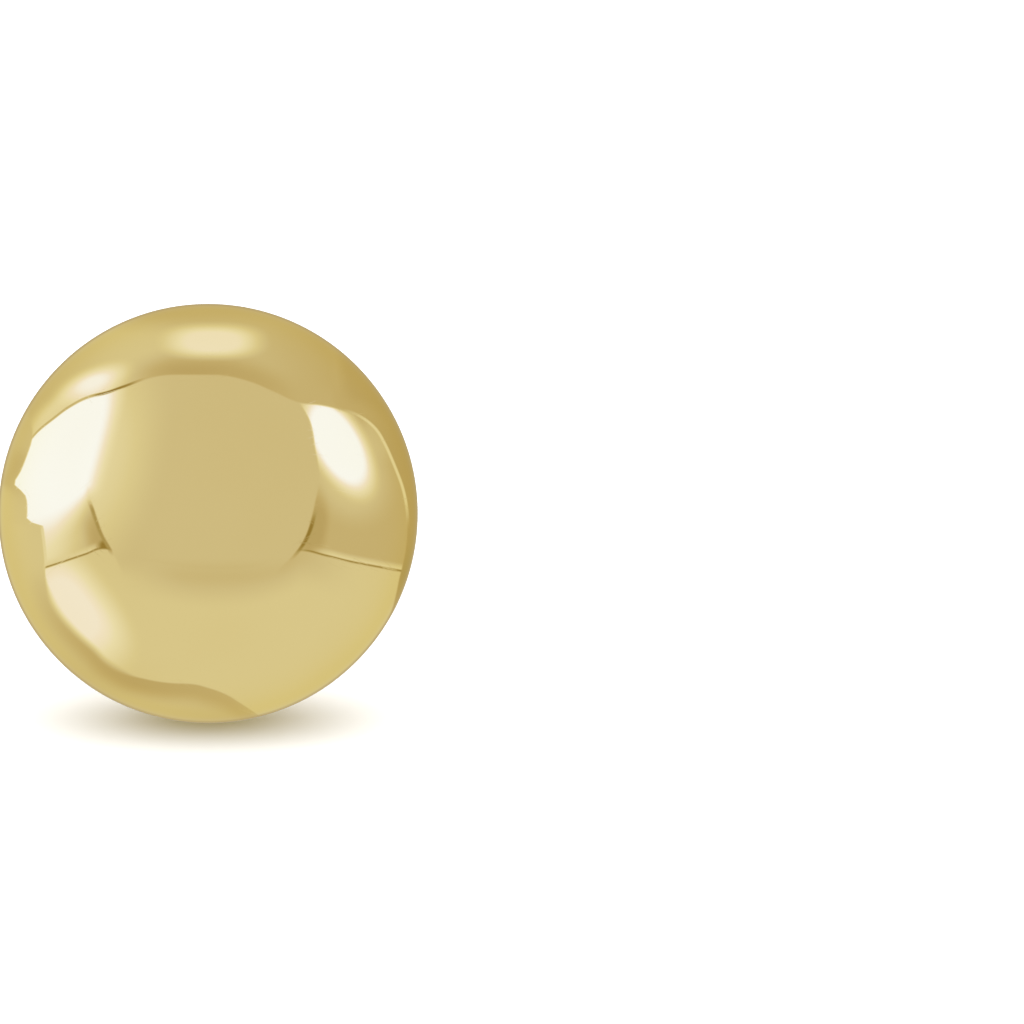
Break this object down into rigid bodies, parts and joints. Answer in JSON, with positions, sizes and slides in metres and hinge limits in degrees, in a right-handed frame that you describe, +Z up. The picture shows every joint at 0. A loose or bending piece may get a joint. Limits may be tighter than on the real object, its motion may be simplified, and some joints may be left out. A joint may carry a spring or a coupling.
{
  "type": "ball stud earring",
  "caption": "Hollow polished gold ball on a straight notched post, worn through a pierced ear lobe and held by a butterfly friction back.",
  "frame": {"origin": "on the table under the middle of the stud's box, as it lies on its ball and its friction back", "axes": "+Z up; the ball faces -Y and the post runs towards +Y, sloping down by 10 degrees"},
  "size_m": [0.008, 0.0184, 0.008],
  "materials": {
    "polished_gold": "polished",
    "stamped_gold": "polished"
  },
  "bodies": {
    "root": {"ball_and_post": "polished_gold", "friction_back": "stamped_gold"}
  },
  "joints": []
}
